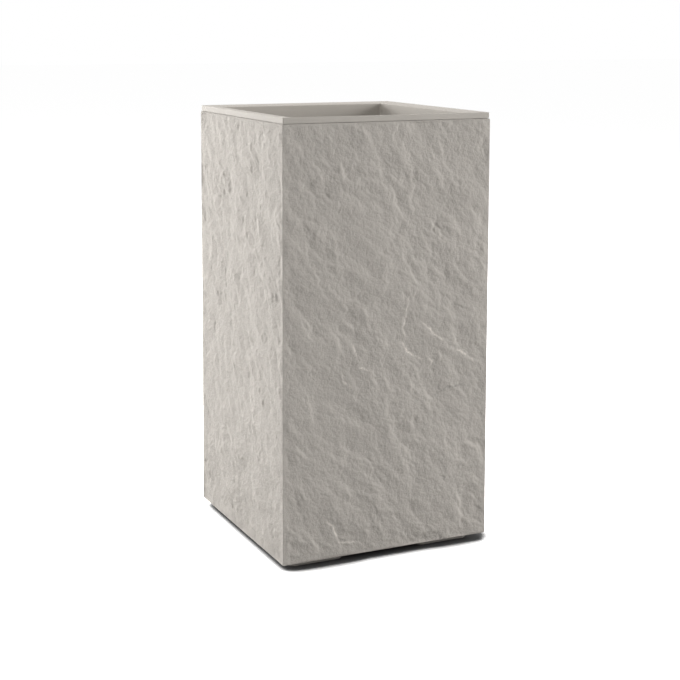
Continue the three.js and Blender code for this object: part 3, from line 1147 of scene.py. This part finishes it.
@dataclass(frozen=True)
class Lamp:
    """A rectangular softbox aimed at a point on the planter's axis."""

    name: str
    place: Triple
    size: tuple[float, float]
    power: float
    aim: Triple = (0, 0, 0.4)

    def build(self) -> None:
        """Adds the lamp."""
        data = bpy.data.lights.new(self.name, "AREA")
        data.shape, data.size, data.size_y, data.energy = "RECTANGLE", *self.size, self.power
        place = np.array(self.place)
        placed(self.name, data).matrix_world = facing(place, np.array(self.aim) - place, 0.0)


def facing(place: np.ndarray, forward: np.ndarray, roll: float) -> Matrix:
    """Matrix of a camera or lamp at a place.

    Right = forward x Z and up = right x forward, both then turned about forward by the roll. The
    columns are right, up, minus forward and the place.

    Args:
        place: where it stands.
        forward: which way it looks.
        roll: turn about its own axis, in radians.

    Returns:
        The matrix.
    """
    forward = forward / np.linalg.norm(forward)
    right = np.cross(forward, (0.0, 0.0, 1.0))
    right = right / np.linalg.norm(right)
    up = np.cross(right, forward)
    c, s = math.cos(roll), math.sin(roll)
    made = np.eye(4)
    made[:3] = np.stack([right * c + up * s, up * c - right * s, -forward, place], axis=1)
    return Matrix(made.tolist())


@dataclass(frozen=True)
class Studio:
    """Pale floor, soft light from all round, lamps and the camera."""

    camera_place: Triple = (-1.12828, -2.39948, 0.95471)
    camera_yaw: float = math.radians(64.802)
    camera_pitch: float = math.radians(-12.562)
    camera_roll: float = math.radians(0.175)
    lens: float = 75.482
    sensor_width: float = 36
    sky: float = 0.33
    floor_reach: float = 30.0
    floor_albedo: float = 0.4
    floor_seen: float = 3.0
    # The next four set the painted contact shadow: its darkest brightness, the occlusion's reach and
    # lean, and the occlusion range it spans.
    floor_hidden: float = 0.10
    contact_reach: float = 0.050
    contact_lean: Triple = (-0.60, 0.0, 0.80)
    contact_range: tuple[float, float] = (0.52, 0.86)
    lamps: tuple[Lamp, ...] = (
        Lamp("back_left", (-1.7, 2.95, 1.2), (1.3, 1.6), 130),
        Lamp("left", (-3.2, 0.2, 1.3), (1.4, 1.4), 22),
        Lamp("front", (-2.4, -2.4, 1.3), (1.4, 1.4), 12),
        Lamp("right", (3.0, -1.65, 1.5), (1.0, 1.4), 95),
        Lamp("top", (0.6, 0.6, 3.4), (1.4, 1.4), 38, (0, 0, 0.8)),
    )

    def camera(self) -> None:
        """Adds the camera at the photograph's viewing angle."""
        data = bpy.data.cameras.new("camera")
        data.lens, data.sensor_width = self.lens, self.sensor_width
        camera = placed("camera", data)
        yaw, pitch = self.camera_yaw, self.camera_pitch
        level = math.cos(pitch)
        forward = np.array([level * math.cos(yaw), level * math.sin(yaw), math.sin(pitch)])
        camera.matrix_world = facing(np.array(self.camera_place), forward, self.camera_roll)
        bpy.context.scene.camera = camera

    def floor(self) -> None:
        """Adds the floor.

        The camera sees it as white, except close to the planter's foot, where a contact shadow is
        painted into its colour: it darkens as far as nearby surfaces shut out the light from the left,
        by ambient occlusion.
        """
        nodes = Nodes(bpy.data.materials.new("floor"))
        grey = (self.floor_albedo,) * 3 + (1,)
        lean = nodes.add("ShaderNodeCombineXYZ", dict(enumerate(self.contact_lean)))
        near = nodes.add("ShaderNodeAmbientOcclusion", {
            "Distance": self.contact_reach, "Normal": lean.outputs[0]}, samples=16)
        # Painted contact shadow: the camera's white fades towards floor_hidden where the occlusion is
        # high.
        painted_shadow_brightness = nodes.spread(
            near.outputs["AO"], *self.contact_range, self.floor_hidden, self.floor_seen)
        pale = nodes.scaled_colour((1, 1, 1), [painted_shadow_brightness])
        colour = nodes.add("ShaderNodeMix", {0: nodes.seen(), 6: grey, 7: pale}, data_type="RGBA")
        shader = nodes.add("ShaderNodeBsdfDiffuse", {"Color": colour.outputs[2]})
        nodes.add("ShaderNodeOutputMaterial", {"Surface": shader.outputs[0]})
        corners = self.floor_reach * np.array([(-1, -1, 0), (1, -1, 0), (1, 1, 0), (-1, 1, 0)])
        mesh = mesh_of("floor", Surface(corners, np.array([[0, 1, 2, 3]])))
        mesh.materials.append(nodes.owner)
        floor = placed("floor", mesh)

    def world(self) -> None:
        """Soft light from all round, which the camera and reflections see as white."""
        nodes = Nodes(bpy.data.worlds.new("studio"))
        strength = nodes.add("ShaderNodeMix", {0: nodes.seen(), 2: self.sky, 3: 1.0})
        background = nodes.add("ShaderNodeBackground", {
            "Color": (1, 1, 1, 1), "Strength": strength.outputs[0]})
        nodes.add("ShaderNodeOutputWorld", {"Surface": background.outputs[0]})
        bpy.context.scene.world = nodes.owner

    def build(self) -> None:
        """Sets up the studio."""
        self.camera()
        self.floor()
        self.world()
        for lamp in self.lamps:
            lamp.build()
        bpy.context.scene.view_settings.view_transform = "Standard"


def main() -> None:
    """Builds the planter's pieces in order, then the studio."""
    logging.basicConfig(level=logging.INFO, format="%(name)s: %(message)s")
    assemblies = (
        StoneShell(),
        Liner(),
        BasePanel(),
        Feet(),
        DrainPlug("base_bung", "base_drain_plug", Body.BASE_PLUG, 0.016, 0.007, 0.0273),
        DrainPlug("liner_bung", "liner_drain_plug", Body.LINER_PLUG, 0.0125, 0.005, 0.409),
    )
    for assembly in assemblies:
        for piece in assembly.build():
            log.info("%s: %d faces", piece.name, len(piece.data.polygons))
    Studio().build()


if __name__ == "__main__":
    main()
